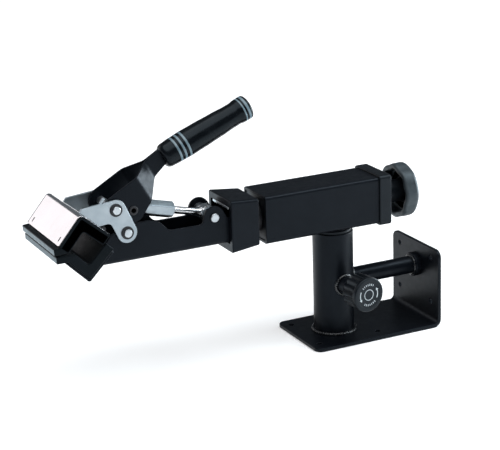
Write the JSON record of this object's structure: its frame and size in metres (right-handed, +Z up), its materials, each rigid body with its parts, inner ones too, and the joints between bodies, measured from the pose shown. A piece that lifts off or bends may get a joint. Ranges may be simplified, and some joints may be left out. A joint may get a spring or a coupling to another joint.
{
  "type": "bike repair stand",
  "caption": "Bench or wall mounted bike repair stand: a swivelling arm carries a rolling toggle clamp with padded jaws that grips a bicycle tube.",
  "frame": {"origin": "underside of the base plate, on the axis of the post", "axes": "+Z up along the post; +X along the arm towards the wall plate and the rear knob; the clamp is at the -X end; -Y is the side of the post knob"},
  "size_m": [0.4271, 0.11, 0.2706],
  "materials": {
    "powder_coat": "satin black powder coat",
    "zinc_plate": "bright zinc plating",
    "polished_steel": "polished",
    "bright_steel": "machined and nickel plated",
    "brass": "plain",
    "black_oxide": "black oxide",
    "black_rubber": "matt moulded rubber",
    "black_plastic": "fine moulded texture"
  },
  "bodies": {
    "base": {"base_bracket": "powder_coat", "post_tube": "powder_coat", "brace_tube": "powder_coat", "brace_flange": "powder_coat", "post_bush": "black_plastic", "post_boss": "powder_coat"},
    "post_pad": {"post_pressure_pad": "brass"},
    "post_knob": {"post_knob": "black_plastic", "post_knob_screw": "bright_steel"},
    "arm": {"arm_tube": "powder_coat", "arm_front_plug": "black_plastic", "arm_end_cap": "black_plastic", "swivel_stub": "powder_coat"},
    "rear_washer": {"rear_washer": "zinc_plate"},
    "rear_knob": {"rear_knob": "black_plastic"},
    "head": {"head_collar": "powder_coat", "collar_strip": "bright_steel", "draw_bolt": "bright_steel", "friction_washer": "black_oxide", "head_channel": "powder_coat", "ear_pin": "bright_steel", "ear_spacer_front": "zinc_plate", "ear_spacer_back": "zinc_plate", "jaw_pin": "bright_steel", "jaw_pin_ring_front": "black_oxide", "jaw_pin_ring_back": "black_oxide", "lower_jaw_plate": "powder_coat", "lower_jaw_pad": "black_rubber"},
    "jaw": {"upper_jaw_plate": "polished_steel", "upper_jaw_pad": "black_rubber", "jaw_side_plate_front": "zinc_plate", "jaw_side_plate_back": "zinc_plate", "toggle_pin": "bright_steel", "toggle_pin_ring_front": "black_oxide", "toggle_pin_ring_back": "black_oxide", "jaw_tie_rod": "black_oxide"},
    "handle": {"yoke_plate_front": "powder_coat", "yoke_plate_back": "powder_coat", "yoke_rivet": "bright_steel", "grip": "black_rubber"},
    "link": {"link_rod": "bright_steel"},
    "adjust_nut": {"adjust_nut": "zinc_plate"},
    "link_eye": {"link_eye": "bright_steel"}
  },
  "joints": [
    {"name": "arm_swivel", "type": "hinge", "parent": "base", "child": "arm", "pos_m": [0, 0, 0.1145], "axis": [0, 0, 1], "continuous": true},
    {"name": "post_pad_travel", "type": "slide", "parent": "base", "child": "post_pad", "axis": [0.1392, -0.9903, 0], "range_m": [0, 0.0031]},
    {"name": "post_knob_spin", "type": "hinge", "parent": "post_pad", "child": "post_knob", "pos_m": [0, 0, 0.0585], "axis": [0.1392, -0.9903, 0], "range_deg": [0, 720]},
    {"name": "head_roll", "type": "hinge", "parent": "arm", "child": "head", "pos_m": [-0.093, 0, 0.145], "axis": [1, 0, 0], "continuous": true},
    {"name": "rear_washer_travel", "type": "slide", "parent": "head", "child": "rear_washer", "axis": [1, 0, 0], "range_m": [0, 0.0036]},
    {"name": "rear_knob_spin", "type": "hinge", "parent": "rear_washer", "child": "rear_knob", "pos_m": [0.081, 0, 0.145], "axis": [1, 0, 0], "range_deg": [0, 720]},
    {"name": "handle_lift", "type": "hinge", "parent": "jaw", "child": "handle", "pos_m": [-0.2489, 0, 0.1824], "axis": [0, -1, 0], "range_deg": [0, 103.95]},
    {"name": "jaw_open", "type": "hinge", "parent": "head", "child": "jaw", "pos_m": [-0.2384, 0, 0.1578], "axis": [0, 1, 0], "range_deg": [0, 35.2]},
    {"name": "link_swing", "type": "hinge", "parent": "head", "child": "link", "pos_m": [-0.144, 0, 0.1567], "axis": [0, 1, 0], "range_deg": [0, 16.7]},
    {"name": "nut_spin", "type": "hinge", "parent": "link", "child": "adjust_nut", "pos_m": [-0.144, 0, 0.1567], "axis": [0.9698, 0, -0.2439], "continuous": true},
    {"name": "eye_swing", "type": "hinge", "parent": "handle", "child": "link_eye", "pos_m": [-0.2299, 0, 0.1783], "axis": [0, 1, 0], "range_deg": [0, 85.8]}
  ],
  "couplings": [
    {"joint": "jaw_open", "follows": "handle_lift", "ratio": 0.336},
    {"joint": "link_swing", "follows": "handle_lift", "ratio": 0.1585},
    {"joint": "eye_swing", "follows": "handle_lift", "ratio": 0.8225},
    {"joint": "post_pad_travel", "follows": "post_knob_spin", "m_per_rad": 0.00023873},
    {"joint": "rear_washer_travel", "follows": "rear_knob_spin", "m_per_rad": 0.00027852}
  ]
}
